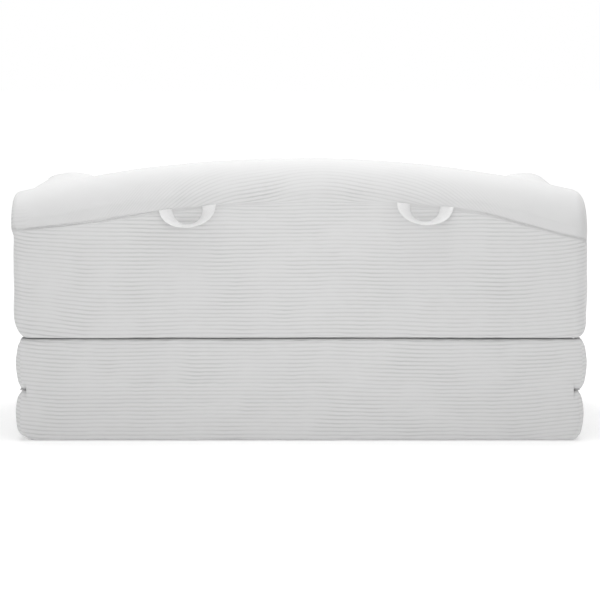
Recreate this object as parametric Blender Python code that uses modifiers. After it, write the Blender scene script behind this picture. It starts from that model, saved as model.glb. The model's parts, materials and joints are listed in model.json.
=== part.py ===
"""Folding sofa bed: three foam cushions in ribbed fabric covers that fold in a zigzag.

Metres, +Z up. The side people sit on faces -Y and the back faces +Y, so left and right
are the sitter's. The origin is the centre of the base cushion's underside, on the floor.
The base and middle cushions hinge on fabric at the back, and the middle cushion and the
top unit, which is the seat with its arms and back, hinge on fabric at the front.
"""

from math import atan, cos, pi, sin

import bmesh
import bpy
from mathutils import Vector

# Overall sizes
sofa_width = 1.400
sofa_depth = 0.700
base_setback = 0.012
middle_setback = 0.008
cushion_thickness = 0.1235
fold_gap = 0.002

# Covers, foam and the clearances between pieces
cover_wall = 0.002
foam_clearance = 0.0004
touch_gap = 0.0003
underside_wall = 0.0016
hem_margin = 0.006
sharp_radius = 0.004
dome_reach = 0.024
dome_step_share = 1 / 3
dome_inset_share = 1 / 2

# Base and middle cushions
side_swell = 0.004
face_swell = 0.004
face_rounding = 0.009
floor_edge_radius = 0.022
fold_edge_radius = 0.010

# Seat cushion of the top unit
seat_thickness = 0.125
seat_crown = 0.018
seat_front_swell = 0.006
seat_nose_radius = 0.032
seat_edge_radius = 0.012

# Arms
arm_width = 0.170
arm_height = 0.363
arm_side_setback = 0.014
arm_crown = 0.008
arm_outer_radius = (0.070, 0.080)
arm_inner_radius = (0.050, 0.055)
arm_front_rounding = 0.042
arm_front_dome = 0.008
arm_floor_radius = 0.020

# Back bolster
back_depth = 0.185
back_height = 0.428
arch_drop = 0.084
arch_power = 2.0
seam_height = 0.3336
seam_drop = 0.076
seam_shift = 0.050
back_shoulder = 0.086
back_end_rounding = 0.030
back_end_dome = 0.004
back_floor_radius = 0.020
rear_wrap = 0.036

# Carrying handles, sewn into the seam at the rear
left_handle_place = 0.270
right_handle_place = 0.300
handle_span = 0.104
handle_drop = 0.047
tape_width = 0.032
tape_thickness = 0.002
handle_twist = 1.42
twist_start_share = 0.10
twist_end_share = 0.40

# Zips
cushion_zip_setback = 0.070
arm_zip_setback = 0.077
arm_zip_height = 0.060
zip_tape_width = 0.0134
zip_tape_thickness = 0.0014
zip_coil_width = 0.005
zip_coil_height = 0.001
zip_end_stop = 0.012

# Zip sliders
slider_length = 0.014
slider_nose_width = 0.011
slider_tail_width = 0.008
slider_thickness = 0.0028
slider_channel_clearance = 0.0003
bridge_width = 0.0024
bridge_inside = (0.0052, 0.0022)
bridge_wire = 0.0011

# Zip pullers
puller_length = 0.024
puller_width = 0.0085
puller_thickness = 0.0012
puller_bar = 0.0013
puller_window_width = 0.0034
puller_corner_radius = 0.0018

# Fabric strips in the two folds
fold_strip_width = 0.022

# How far a cutter runs past what it cuts
cut_overrun = 0.010

# How finely the forms are drawn
cover_arc_steps = 3
foam_arc_steps = 1
handle_steps = 20
seam_steps = 36
corner_segments = 4
round_profile = 0.5
crease_angle = pi / 5
quarter_turn = pi / 2
lower_side_steps = (3, 2, 3, 2)
seat_side_steps = (2, 1, 5, 1)
arm_side_steps = (2, 3, 2, 3)
back_side_steps = (2, 1, 0, 1)
no_side_steps = (0, 0, 0, 0)
seat_ring_shares = (-0.75, -0.45, 0.0, 0.45, 0.75)
back_ring_shares = (-0.8, -0.6, -0.4, -0.2, 0.0, 0.2, 0.4, 0.6, 0.8)

# Heights and planes that follow
half_width = sofa_width / 2
half_depth = sofa_depth / 2
base_width = sofa_width - 2 * base_setback
middle_width = sofa_width - 2 * middle_setback
front_plane = -half_depth + touch_gap
rear_plane = half_depth - touch_gap
middle_floor = cushion_thickness + fold_gap
top_floor = middle_floor + cushion_thickness + fold_gap
back_front = rear_plane - back_depth
arm_outer = half_width - arm_side_setback
arm_inner = arm_outer - arm_width
arm_rear = back_front - touch_gap
foam_shrink = cover_wall + foam_clearance
zip_slot_depth = 2 * foam_shrink
cushion_zip_length = sofa_depth - 2 * cushion_zip_setback
arm_zip_length = arm_rear - front_plane - 2 * arm_zip_setback
handle_top_drop = touch_gap + tape_thickness / 2
LOW, HIGH = 0, 1

COLOURS = {
    "cover": (0.80, 0.80, 0.79, 1.0),
    "underside": (0.42, 0.42, 0.43, 1.0),
    "foam": (0.86, 0.83, 0.70, 1.0),
    "tape": (0.88, 0.88, 0.87, 1.0),
    "zip": (0.82, 0.82, 0.81, 1.0),
    "metal": (0.62, 0.62, 0.63, 1.0),
}
ROUGHNESS = {"cover": 0.9, "underside": 0.85, "foam": 0.95, "tape": 0.8, "zip": 0.6, "metal": 0.3}


def clear_scene():
    """Remove every object, so the model starts from nothing."""
    for item in list(bpy.data.objects):
        bpy.data.objects.remove(item, do_unlink=True)


def make_collection(name):
    """A collection of that name, linked to the scene."""
    collection = bpy.data.collections.new(name)
    bpy.context.scene.collection.children.link(collection)
    return collection


def make_material(name, finish):
    """A Principled material in one of the sofa's finishes."""
    material = bpy.data.materials.new(name)
    material.use_nodes = True
    shader = material.node_tree.nodes["Principled BSDF"]
    shader.inputs["Base Color"].default_value = COLOURS[finish]
    shader.inputs["Roughness"].default_value = ROUGHNESS[finish]
    shader.inputs["Metallic"].default_value = 1.0 if finish == "metal" else 0.0
    material.diffuse_color = COLOURS[finish]
    return material


clear_scene()
PARTS = make_collection("folding_sofa_bed")
CUTTERS = make_collection("cutters")


def add_part(name, mesh, finish, location=(0.0, 0.0, 0.0)):
    """Put a mesh in the scene as one of the sofa's pieces."""
    part = bpy.data.objects.new(name, mesh)
    part.location = location
    mesh.materials.append(make_material(name, finish))
    mesh.shade_smooth()
    mesh.set_sharp_from_angle(angle=crease_angle)
    PARTS.objects.link(part)
    return part


def add_cutter(name, mesh, location=(0.0, 0.0, 0.0)):
    """Put a mesh in the scene as a shape that only cuts others."""
    cutter = bpy.data.objects.new(name, mesh)
    cutter.location = location
    cutter.hide_render = True
    cutter.display_type = "WIRE"
    CUTTERS.objects.link(cutter)
    return cutter


def cut(part, cutter, operation="DIFFERENCE"):
    """Add a Boolean modifier to a piece."""
    modifier = part.modifiers.new(cutter.name, "BOOLEAN")
    modifier.operation = operation
    modifier.object = cutter


def box_mesh(name, low, high, corner_radius=0.0):
    """A box between two corners, its upright edges rounded if a radius is given."""
    mesh = bpy.data.meshes.new(name)
    low, high = Vector(low), Vector(high)
    size = high - low
    bm = bmesh.new()
    bmesh.ops.create_cube(bm, size=1.0)
    bmesh.ops.scale(bm, vec=size, verts=bm.verts)
    bmesh.ops.translate(bm, vec=(low + high) / 2, verts=bm.verts)
    if corner_radius:
        upright = [edge for edge in bm.edges if edge.verts[0].co.xy == edge.verts[1].co.xy]
        bmesh.ops.bevel(
            bm,
            geom=upright,
            offset=corner_radius,
            segments=corner_segments,
            profile=round_profile,
            affect="EDGES",
        )
    bm.to_mesh(mesh)
    bm.free()
    return mesh


def extruded_mesh(name, outline_points, direction):
    """A flat outline of points pushed along a direction into a closed solid."""
    mesh = bpy.data.meshes.new(name)
    bm = bmesh.new()
    face = bm.faces.new([bm.verts.new(point) for point in outline_points])
    pushed = bmesh.ops.extrude_face_region(bm, geom=[face])
    moved = [item for item in pushed["geom"] if isinstance(item, bmesh.types.BMVert)]
    bmesh.ops.translate(bm, vec=direction, verts=moved)
    bmesh.ops.recalc_face_normals(bm, faces=bm.faces)
    bm.to_mesh(mesh)
    bm.free()
    return mesh


def loft_mesh(name, rings):
    """A closed surface through rings with as many points each."""
    mesh = bpy.data.meshes.new(name)
    bm = bmesh.new()
    loops = [[bm.verts.new(point) for point in ring] for ring in rings]
    for near, far in zip(loops, loops[1:]):
        for here in range(len(near)):
            after = (here + 1) % len(near)
            bm.faces.new((near[here], near[after], far[after], far[here]))
    bm.faces.new(loops[0])
    bm.faces.new(loops[-1])
    bmesh.ops.recalc_face_normals(bm, faces=bm.faces)
    bm.to_mesh(mesh)
    bm.free()
    return mesh


class Section:
    """A rounded outline across a cushion, in two of its directions.

    The radii go round from the corner at the first direction's high end and the second's
    low end. The swells are those of the second direction's low side, the first's high
    side, the second's high side and the first's low side.
    """

    def __init__(self, low, high, radii, swells=(0.0, 0.0, 0.0, 0.0)):
        self.low = low
        self.high = high
        self.radii = radii
        self.swells = swells

    def points(self, inset, arc_steps, side_cuts):
        """The outline's points, drawn in by inset all round."""
        under, far, over, near = self.swells
        left = self.low[0] + near + inset
        right = self.high[0] - far - inset
        bottom = self.low[1] + under + inset
        top = self.high[1] - over - inset
        corners = ((right, bottom, 3), (right, top, 0), (left, top, 1), (left, bottom, 2))
        swell_ways = ((far, (1, 0)), (over, (0, 1)), (near, (-1, 0)), (under, (0, -1)))
        arcs = []
        for (across, up, quarter), radius in zip(corners, self.radii):
            reach = [max(r - inset, min(r, sharp_radius)) for r in radius]
            centre_across = across - reach[0] if quarter in (3, 0) else across + reach[0]
            centre_up = up - reach[1] if quarter in (0, 1) else up + reach[1]
            turns = [(quarter + step / arc_steps) * quarter_turn for step in range(arc_steps + 1)]
            arcs.append(
                [
                    (centre_across + reach[0] * cos(turn), centre_up + reach[1] * sin(turn))
                    for turn in turns
                ]
            )
        outline = []
        for index, arc in enumerate(arcs):
            outline += arc
            start, stop = arc[-1], arcs[(index + 1) % len(arcs)][0]
            swell, way = swell_ways[index]
            cuts = side_cuts[index]
            for number in range(cuts):
                share = (number + 1) / (cuts + 1)
                rise = swell * (1 - (2 * share - 1) ** 2)
                outline.append(
                    (
                        start[0] + (stop[0] - start[0]) * share + way[0] * rise,
                        start[1] + (stop[1] - start[1]) * share + way[1] * rise,
                    )
                )
        return outline


def end_stations(face, inward, rounding, dome, steps):
    """Places and insets from an end face to the full section: the dome, then the rounding."""
    stations = []
    if dome:
        stations.append((face, rounding + dome_reach))
        step = face + inward * dome * dome_step_share
        stations.append((step, rounding + dome_reach * dome_inset_share))
    for step in range(steps + 1):
        turn = quarter_turn * step / steps
        place = face + inward * (dome + rounding * (1 - cos(turn)))
        stations.append((place, rounding * (1 - sin(turn))))
    return stations


class Form:
    """The shape of one cushion: sections along an axis between two rounded ends."""

    def __init__(self, axis, ends, roundings, domes, section_at, side_cuts, inner_places=()):
        self.axis = axis
        self.ends = ends
        self.roundings = roundings
        self.domes = domes
        self.section_at = section_at
        self.side_cuts = side_cuts
        self.inner_places = inner_places

    def rings(self, shrink, arc_steps, side_cuts, with_domes):
        """Rings of points along the form, drawn in by shrink."""
        stations = []
        inner = [(place, 0.0) for place in self.inner_places]
        for end, inward in ((LOW, 1), (HIGH, -1)):
            dome = self.domes[end] if with_domes else 0.0
            hidden = 0.0 if with_domes else self.domes[end]
            face = self.ends[end] + inward * (shrink + hidden)
            rounding = max(self.roundings[end] - shrink, sharp_radius)
            run = end_stations(face, inward, rounding, dome, arc_steps)
            stations += run + inner if inward > 0 else run[::-1]
        for place, inset in stations:
            outline = self.section_at(place).points(inset + shrink, arc_steps, side_cuts)
            if self.axis == "X":
                yield [Vector((place, across, up)) for across, up in outline]
            else:
                yield [Vector((across, place, up)) for across, up in outline]

    def skin_mesh(self, name):
        """The outside of the cover."""
        return loft_mesh(name, list(self.rings(0.0, cover_arc_steps, self.side_cuts, True)))

    def foam_mesh(self, name):
        """The foam block that fills the cover, more plainly drawn."""
        cuts = [min(count, 1) for count in self.side_cuts]
        return loft_mesh(name, list(self.rings(foam_shrink, foam_arc_steps, cuts, False)))


def round_corner(radius):
    """The same radius both ways."""
    return radius, radius


def add_cover(name, form):
    """A fabric cover: the form's skin, given its thickness inwards."""
    cover = add_part(name, form.skin_mesh(name), "cover")
    wall = cover.modifiers.new("fabric", "SOLIDIFY")
    wall.thickness = cover_wall
    wall.offset = -1.0
    wall.use_even_offset = True
    return cover


def lower_cushion_form(width, floor, radii):
    """The form of the base or the middle cushion: a slab with softly swollen sides."""
    section = Section(
        (-width / 2, floor),
        (width / 2, floor + cushion_thickness),
        radii,
        (0.0, side_swell, 0.0, side_swell),
    )
    return Form(
        "Y",
        (front_plane, rear_plane),
        (face_rounding, face_rounding),
        (face_swell, face_swell),
        lambda place: section,
        lower_side_steps,
    )


def arch_height(across):
    """Height of the back's crown above the floor, at a distance from the middle."""
    return top_floor + back_height - arch_drop * (abs(across) / half_width) ** arch_power


def seam_level(across):
    """Height of the seam between the rear panel and the crown."""
    return top_floor + seam_height - seam_drop * ((across + seam_shift) / half_width) ** 2


def seam_slope(across):
    """Rise of that seam for each metre across."""
    return -2 * seam_drop * (across + seam_shift) / half_width**2


def back_section(place):
    """Across the back bolster: upright faces under a rounded crown."""
    shoulder = (back_shoulder, arch_height(place) - seam_level(place))
    return Section(
        (back_front, top_floor),
        (rear_plane, arch_height(place)),
        (round_corner(back_floor_radius), shoulder, shoulder, round_corner(sharp_radius)),
    )


def seat_section(place):
    """Across the seat cushion: a flat underside, a soft nose and a crowned top."""
    share = place / arm_inner
    crown = seat_crown * (1 - share**4)
    return Section(
        (front_plane, top_floor),
        (arm_rear, top_floor + seat_thickness + crown),
        (
            round_corner(sharp_radius),
            round_corner(seat_edge_radius),
            round_corner(seat_nose_radius),
            round_corner(fold_edge_radius),
        ),
        (0.0, 0.0, crown, seat_front_swell),
    )


def arm_section(side):
    """Across an arm: an upright outer side and a crowned top with round shoulders."""
    radii = (
        round_corner(arm_floor_radius),
        arm_outer_radius,
        arm_inner_radius,
        round_corner(sharp_radius),
    )
    swells = (0.0, 0.0, arm_crown, 0.0)
    bottom, top = top_floor, top_floor + arm_height
    if side > 0:
        return Section((arm_inner, bottom), (arm_outer, top), radii, swells)
    mirrored = (radii[3], radii[2], radii[1], radii[0])
    return Section((-arm_outer, bottom), (-arm_inner, top), mirrored, swells)


def arm_form(side):
    """The form of one arm, from its padded front to the back bolster."""
    section = arm_section(side)
    return Form(
        "Y",
        (front_plane, arm_rear),
        (arm_front_rounding, sharp_radius),
        (arm_front_dome, 0.0),
        lambda place: section,
        arm_side_steps,
    )


BASE_FORM = lower_cushion_form(
    base_width,
    0.0,
    (
        round_corner(floor_edge_radius),
        round_corner(fold_edge_radius),
        round_corner(fold_edge_radius),
        round_corner(floor_edge_radius),
    ),
)
MIDDLE_FORM = lower_cushion_form(middle_width, middle_floor, [round_corner(fold_edge_radius)] * 4)
SEAT_FORM = Form(
    "X",
    (-arm_inner + touch_gap, arm_inner - touch_gap),
    (seat_edge_radius, seat_edge_radius),
    (0.0, 0.0),
    seat_section,
    seat_side_steps,
    [arm_inner * share for share in seat_ring_shares],
)
BACK_FORM = Form(
    "X",
    (-half_width, half_width),
    (back_end_rounding, back_end_rounding),
    (back_end_dome, back_end_dome),
    back_section,
    back_side_steps,
    [half_width * share for share in back_ring_shares],
)


def underside_limits(low, high, level, facing_down):
    """Corners of an underside sheet whose outer face is at a level and faces down or up."""
    bottom = level if facing_down else level - underside_wall
    return (low[0], low[1], bottom), (high[0], high[1], bottom + underside_wall)


def add_underside(name, low, high, level, facing_down):
    """A sheet that closes a cover's underside, and the cutter for its place in the cover."""
    corners = underside_limits(low, high, level, facing_down)
    sheet = add_part(name, box_mesh(name, *corners, hem_margin), "underside")
    low_cut = Vector((low[0] - touch_gap, low[1] - touch_gap, level))
    high_cut = Vector((high[0] + touch_gap, high[1] + touch_gap, level))
    depth = cover_wall + foam_clearance / 2
    low_cut.z += -cut_overrun if facing_down else -depth
    high_cut.z += depth if facing_down else cut_overrun
    recess = add_cutter(name + "_recess", box_mesh(name + "_recess", low_cut, high_cut, hem_margin))
    return sheet, recess


def lower_hem(width, edge_radius):
    """Corners, seen from above, of the base's or middle's underside sheet."""
    across = width / 2 - side_swell - edge_radius - hem_margin
    along = rear_plane - face_swell - face_rounding - hem_margin
    return (-across, -along), (across, along)


def add_zip(name, wall, level, start, length, coil_gap=touch_gap):
    """A zip in an upright wall facing -X: its slot, tape, slider and puller.

    wall is the cover's outer face, level the zip's height and start its front end.
    """
    stop = start + length
    half_tape = zip_tape_width / 2
    slot_low = (wall - cut_overrun, start - touch_gap, level - half_tape - touch_gap)
    slot_high = (wall + zip_slot_depth, stop + touch_gap, level + half_tape + touch_gap)
    slot = add_cutter(name + "_zip_slot", box_mesh(name + "_zip_slot", slot_low, slot_high))

    tape_face = wall + coil_gap
    coil_face = tape_face - zip_coil_height
    half_coil = zip_coil_width / 2
    profile = (
        (tape_face + zip_tape_thickness, level - half_tape),
        (tape_face + zip_tape_thickness, level + half_tape),
        (tape_face, level + half_tape),
        (tape_face, level + half_coil),
        (coil_face, level + half_coil),
        (coil_face, level - half_coil),
        (tape_face, level - half_coil),
        (tape_face, level - half_tape),
    )
    tape = extruded_mesh(
        name + "_zip_tape",
        [(across, start, up) for across, up in profile],
        (0.0, length, 0.0),
    )
    add_part(name + "_zip_tape", tape, "zip")
    rest = Vector((tape_face - touch_gap, start + zip_end_stop + slider_length / 2, level))
    add_slider(name + "_zip_slider", rest)
    add_puller(name + "_zip_puller", rest)
    return slot


def add_slider(name, rest):
    """A zip slider: a tapered plate over the coil, with a bridge for the puller."""
    half_length = slider_length / 2
    half_nose, half_tail = slider_nose_width / 2, slider_tail_width / 2
    shoulder = half_length - (slider_nose_width - slider_tail_width)
    plan = (
        (-half_length, -half_tail),
        (shoulder, -half_nose),
        (half_length, -half_nose),
        (half_length, half_nose),
        (shoulder, half_nose),
        (-half_length, half_tail),
    )
    plate = extruded_mesh(
        name,
        [(0.0, -along, up) for along, up in plan],
        (-slider_thickness, 0.0, 0.0),
    )
    slider = add_part(name, plate, "metal", rest)

    inside_half, inside_height = bridge_inside[0] / 2, bridge_inside[1]
    outside_half = inside_half + bridge_wire
    roof = slider_thickness + inside_height
    arch = (
        (slider_thickness / 2, -outside_half),
        (roof + bridge_wire / 2, -outside_half),
        (roof + bridge_wire, -inside_half),
        (roof + bridge_wire, inside_half),
        (roof + bridge_wire / 2, outside_half),
        (slider_thickness / 2, outside_half),
        (slider_thickness / 2, inside_half),
        (roof, inside_half),
        (roof, -inside_half),
        (slider_thickness / 2, -inside_half),
    )
    bridge = extruded_mesh(
        name + "_bridge",
        [(-out, along, -bridge_width / 2) for out, along in arch],
        (0.0, 0.0, bridge_width),
    )
    cut(slider, add_cutter(name + "_bridge", bridge, rest), "UNION")

    channel_half = zip_coil_width / 2 + slider_channel_clearance
    channel = box_mesh(
        name + "_channel",
        (-zip_coil_height - slider_channel_clearance, -slider_length, -channel_half),
        (cut_overrun, slider_length, channel_half),
    )
    cut(slider, add_cutter(name + "_channel", channel, rest))


def add_puller(name, slider_rest):
    """A flat pull tab whose bar lies under the slider's bridge, on its hinge axis."""
    half_bar = puller_bar / 2
    inner_edge = bridge_inside[0] / 2 + bridge_wire + puller_bar / 2
    section = Section(
        (-half_bar, -puller_width / 2),
        (puller_length, puller_width / 2),
        (
            round_corner(puller_corner_radius),
            round_corner(puller_corner_radius),
            round_corner(half_bar),
            round_corner(half_bar),
        ),
    )
    plan = section.points(0.0, cover_arc_steps, no_side_steps)
    tab = extruded_mesh(
        name,
        [(-puller_thickness / 2, along, up) for along, up in plan],
        (puller_thickness, 0.0, 0.0),
    )
    hinge = slider_rest + Vector((-slider_thickness - bridge_inside[1] / 2, 0.0, 0.0))
    puller = add_part(name, tab, "metal", hinge)
    window = box_mesh(
        name + "_window",
        (-cut_overrun, half_bar, -puller_window_width / 2),
        (cut_overrun, inner_edge, puller_window_width / 2),
    )
    cut(puller, add_cutter(name + "_window", window, hinge))


def handle_mesh(name):
    """A loop of flat tape: flat at both ends and twisted on edge at the bottom.

    The ends are on the X axis, which is the handle's hinge, and +Y is away from the sofa.
    """
    rings = []
    rest_depth = touch_gap + tape_thickness / 2
    for step in range(handle_steps + 1):
        share = step / handle_steps
        turn = pi * share
        centre = Vector((-handle_span / 2 * cos(turn), 0.0, -handle_drop * sin(turn)))
        heading = Vector((handle_span / 2 * sin(turn), 0.0, -handle_drop * cos(turn)))
        heading.normalize()
        outward = Vector((heading.z, 0.0, -heading.x))
        from_end = min(share, 1 - share)
        ramp = (from_end - twist_start_share) / (twist_end_share - twist_start_share)
        ramp = min(max(ramp, 0.0), 1.0)
        twist = handle_twist * ramp * ramp * (3 - 2 * ramp)
        across = outward * cos(twist) + Vector((0.0, sin(twist), 0.0))
        normal = heading.cross(across)
        standoff = tape_width / 2 * sin(twist) + tape_thickness / 2 * cos(twist)
        centre.y = touch_gap + standoff - rest_depth
        half_across = across * (tape_width / 2)
        half_normal = normal * (tape_thickness / 2)
        rings.append(
            [
                centre + half_across + half_normal,
                centre - half_across + half_normal,
                centre - half_across - half_normal,
                centre + half_across - half_normal,
            ]
        )
    return loft_mesh(name, rings)


def add_handle(name, place):
    """A carrying handle hung from the seam at a place across the back."""
    hinge_depth = rear_plane + touch_gap + tape_thickness / 2
    handle = add_part(
        name, handle_mesh(name), "tape", (place, hinge_depth, seam_level(place) - handle_top_drop)
    )
    handle.rotation_euler = (0.0, -atan(seam_slope(place)), 0.0)
    return handle


def add_base():
    """The base cushion, which stays on the floor."""
    cover = add_cover("base_cover", BASE_FORM)
    low, high = lower_hem(base_width, floor_edge_radius)
    recess = add_underside("base_underside", low, high, 0.0, True)[1]
    cut(cover, recess)
    add_part("base_foam", BASE_FORM.foam_mesh("base_foam"), "foam")
    level = cushion_thickness / 2
    cut(cover, add_zip("base", -base_width / 2, level, -cushion_zip_length / 2, cushion_zip_length))


def add_middle():
    """The middle cushion, which turns over, so its underside sheet faces up when folded."""
    cover = add_cover("middle_cover", MIDDLE_FORM)
    low, high = lower_hem(middle_width, fold_edge_radius)
    level = middle_floor + cushion_thickness
    recess = add_underside("middle_underside", low, high, level, False)[1]
    cut(cover, recess)
    add_part("middle_foam", MIDDLE_FORM.foam_mesh("middle_foam"), "foam")
    level = middle_floor + cushion_thickness / 2
    wall = -middle_width / 2
    cut(cover, add_zip("middle", wall, level, -cushion_zip_length / 2, cushion_zip_length))


def seam_prism(name, level_shift, depth_shift):
    """A solid behind the seam line: what it covers of the back is the rear panel."""
    wrap_plane = rear_plane - rear_wrap + depth_shift
    low = top_floor - cut_overrun
    side = half_width + cut_overrun
    line = [side * (1 - 2 * step / seam_steps) for step in range(seam_steps + 1)]
    points = [(-side, wrap_plane, low), (side, wrap_plane, low)]
    points += [(across, wrap_plane, seam_level(across) + level_shift) for across in line]
    push = rear_wrap + cut_overrun
    return add_cutter(name, extruded_mesh(name, points, (0.0, push, 0.0)))


def add_back(recess):
    """The back bolster: its cover, the rear panel sewn to it, and its foam."""
    cover = add_cover("back_cover", BACK_FORM)
    cut(cover, seam_prism("rear_panel_place", touch_gap / 2, -touch_gap / 2))
    cut(cover, recess)
    panel = add_cover("rear_panel", BACK_FORM)
    cut(panel, seam_prism("rear_panel_outline", -touch_gap / 2, touch_gap / 2), "INTERSECT")
    cut(panel, recess)
    add_part("back_foam", BACK_FORM.foam_mesh("back_foam"), "foam")


def add_arm(name, side, recess):
    """One arm: its cover and its foam."""
    form = arm_form(side)
    cover = add_cover(name + "_cover", form)
    cut(cover, recess)
    add_part(name + "_foam", form.foam_mesh(name + "_foam"), "foam")
    return cover


def add_top_unit():
    """The seat, arms and back, sewn together over one underside sheet."""
    across = half_width - back_end_dome - back_end_rounding - hem_margin
    front = front_plane + arm_front_dome + arm_front_rounding + hem_margin
    rear = rear_plane - back_floor_radius - hem_margin
    low, high = (-across, front), (across, rear)
    recess = add_underside("top_underside", low, high, top_floor, True)[1]
    seat = add_cover("seat_cover", SEAT_FORM)
    cut(seat, recess)
    add_part("seat_foam", SEAT_FORM.foam_mesh("seat_foam"), "foam")
    add_arm("left_arm", 1, recess)
    right = add_arm("right_arm", -1, recess)
    start = front_plane + arm_zip_setback
    cut(right, add_zip("top", -arm_outer, top_floor + arm_zip_height, start, arm_zip_length))
    add_back(recess)
    add_handle("left_handle", left_handle_place)
    add_handle("right_handle", -right_handle_place)


def add_fold_strips():
    """The fabric that joins the cushions, laid flat in each fold at its closed edge."""
    half_length = middle_width / 2 - side_swell - fold_edge_radius
    thickness = fold_gap - 2 * touch_gap
    inset = face_swell + face_rounding
    floor = cushion_thickness + touch_gap
    rear = (
        (-half_length, rear_plane - inset - fold_strip_width, floor),
        (half_length, rear_plane - inset, floor + thickness),
    )
    add_part("rear_fold_strip", box_mesh("rear_fold_strip", *rear), "cover")
    floor = top_floor - fold_gap + touch_gap
    front = (
        (-half_length, front_plane + inset, floor),
        (half_length, front_plane + inset + fold_strip_width, floor + thickness),
    )
    add_part("front_fold_strip", box_mesh("front_fold_strip", *front), "cover")


add_base()
add_middle()
add_fold_strips()
add_top_unit()
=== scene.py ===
"""Looks of the folding sofa bed: soft cushions in ribbed cloth, seams, handles and zips.

Metres, +Z up. The side people sit on faces -Y and the back faces +Y, so left and right are
the sitter's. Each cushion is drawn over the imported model's own piece and takes its size and
place from it.
"""

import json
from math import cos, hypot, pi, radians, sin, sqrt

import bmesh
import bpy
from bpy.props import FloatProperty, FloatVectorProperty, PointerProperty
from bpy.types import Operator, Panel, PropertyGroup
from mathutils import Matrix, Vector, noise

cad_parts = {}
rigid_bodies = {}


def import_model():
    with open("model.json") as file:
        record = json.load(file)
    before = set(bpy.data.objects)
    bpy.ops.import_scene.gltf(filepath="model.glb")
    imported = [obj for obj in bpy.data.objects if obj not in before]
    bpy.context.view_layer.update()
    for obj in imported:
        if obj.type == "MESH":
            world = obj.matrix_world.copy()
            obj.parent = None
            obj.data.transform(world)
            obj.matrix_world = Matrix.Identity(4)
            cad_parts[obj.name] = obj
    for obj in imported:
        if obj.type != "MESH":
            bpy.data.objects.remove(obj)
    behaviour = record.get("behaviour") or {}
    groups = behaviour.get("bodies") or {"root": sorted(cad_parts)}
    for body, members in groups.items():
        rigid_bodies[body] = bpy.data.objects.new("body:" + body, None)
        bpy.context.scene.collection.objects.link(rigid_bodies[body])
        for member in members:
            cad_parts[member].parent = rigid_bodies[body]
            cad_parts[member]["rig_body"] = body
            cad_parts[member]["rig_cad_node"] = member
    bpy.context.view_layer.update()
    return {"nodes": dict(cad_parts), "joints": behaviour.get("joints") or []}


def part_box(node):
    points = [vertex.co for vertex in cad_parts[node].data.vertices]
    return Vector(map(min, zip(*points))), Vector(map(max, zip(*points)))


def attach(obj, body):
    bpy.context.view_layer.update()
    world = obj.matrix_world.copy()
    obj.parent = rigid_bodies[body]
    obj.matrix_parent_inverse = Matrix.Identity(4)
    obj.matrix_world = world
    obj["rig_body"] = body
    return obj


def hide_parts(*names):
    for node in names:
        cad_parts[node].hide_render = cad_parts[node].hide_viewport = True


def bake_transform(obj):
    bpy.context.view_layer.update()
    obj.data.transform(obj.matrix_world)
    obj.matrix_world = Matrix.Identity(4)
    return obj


bl_info = {
    "name": "Folding sofa bed",
    "version": (1, 0, 0),
    "blender": (4, 5, 0),
    "location": "3D View > Sidebar > Sofa Bed",
    "description": "Dresses the folding sofa bed in ribbed cloth and lights it",
    "category": "Add Mesh",
}

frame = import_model()

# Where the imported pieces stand
BASE_LOW, BASE_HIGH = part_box("base_cover")
MIDDLE_LOW, MIDDLE_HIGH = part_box("middle_cover")
SEAT_LOW, SEAT_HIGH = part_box("seat_cover")
ARM_LOW, ARM_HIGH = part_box("left_arm_cover")
BACK_LOW, BACK_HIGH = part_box("back_cover")
PANEL_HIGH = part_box("rear_panel")[1]
HALF_WIDTH = BACK_HIGH.x
REAR = PANEL_HIGH.y
TOP_FLOOR = BACK_LOW.z
JOINTS = {joint["name"]: joint for joint in frame["joints"]}

# Fine fitting, in metres
HAIR = 0.0003  # room left between two faces
BRIM = 0.004  # how far round an underside sheet the cloth is pressed in
SHARP = 0.004  # radius of a corner that isn't rounded on purpose
ZIP_HALF = 0.0046  # half the slot that a zip's tape shows in
ZIP_INNER = 0.0028  # grid lines inside that slot, from its middle
LIP = 0.0045  # width of the cloth's lips beside the slot
UPRIGHT = 0.8  # a face whose normal rises less counts as upright
COVER_WALL = 0.0018  # thickness of the back's cloth
FOAM_INSET = 0.011  # how far the foam shows inside its cover
WELD = 0.0001
TINY = 1e-6
QUARTER = pi / 2

# Grids and cloth
CELL = 0.026  # length of a pair of cells along a cushion
END_STEPS = 4
EASE = 0.65  # how much closer together the grid's lines are at both ends
MOST_CUTS = 100
CROWN_STEPS = 200
CLOTH_FRAMES = 20
CLOTH_QUALITY = 4

# Unevenness of the cloth: waves to a metre, their weights and a cushion's own start
WIDE_WAVES, FINE_WAVES = 5.5, 17.0
WIDE_WEIGHT, FINE_WEIGHT, WAVE_SINK = 0.75, 0.35, 0.35
SEED_STEPS = (3.7, 1.3, 2.1)

# The ribs rise towards the sofa's ends, from this share of its half width on
RIB_TURN = 0.70
LOWER_RISE, BACK_RISE = 0.014, 0.020

# Fine patterns: pitches in metres, and scales of noise
KNIT_PITCH, YARN_PITCH, COIL_PITCH = 0.0022, 0.0016, 0.0015
TAPE_RIB, TAPE_ROW = 0.002, 0.004
DRIFT_SCALE, PATCH_SCALE, FIBRE_SCALE, YARN_SCALE = 2.4, 9.0, 900.0, 1200.0
DOT_SCALE, FELT_SCALE, CELL_SCALE, SCRATCH_SCALE, WEAR_SCALE = 260.0, 700.0, 520.0, 700.0, 120.0

# Colours that no setting holds
WHITE = (1.0, 1.0, 1.0, 1.0)
ZIP_LIGHT, ZIP_DARK = (0.84, 0.84, 0.83, 1.0), (0.66, 0.66, 0.66, 1.0)
METAL = (0.66, 0.66, 0.67, 1.0)
METAL_BRIGHT, METAL_WORN = (0.70, 0.70, 0.71, 1.0), (0.52, 0.52, 0.53, 1.0)


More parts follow.
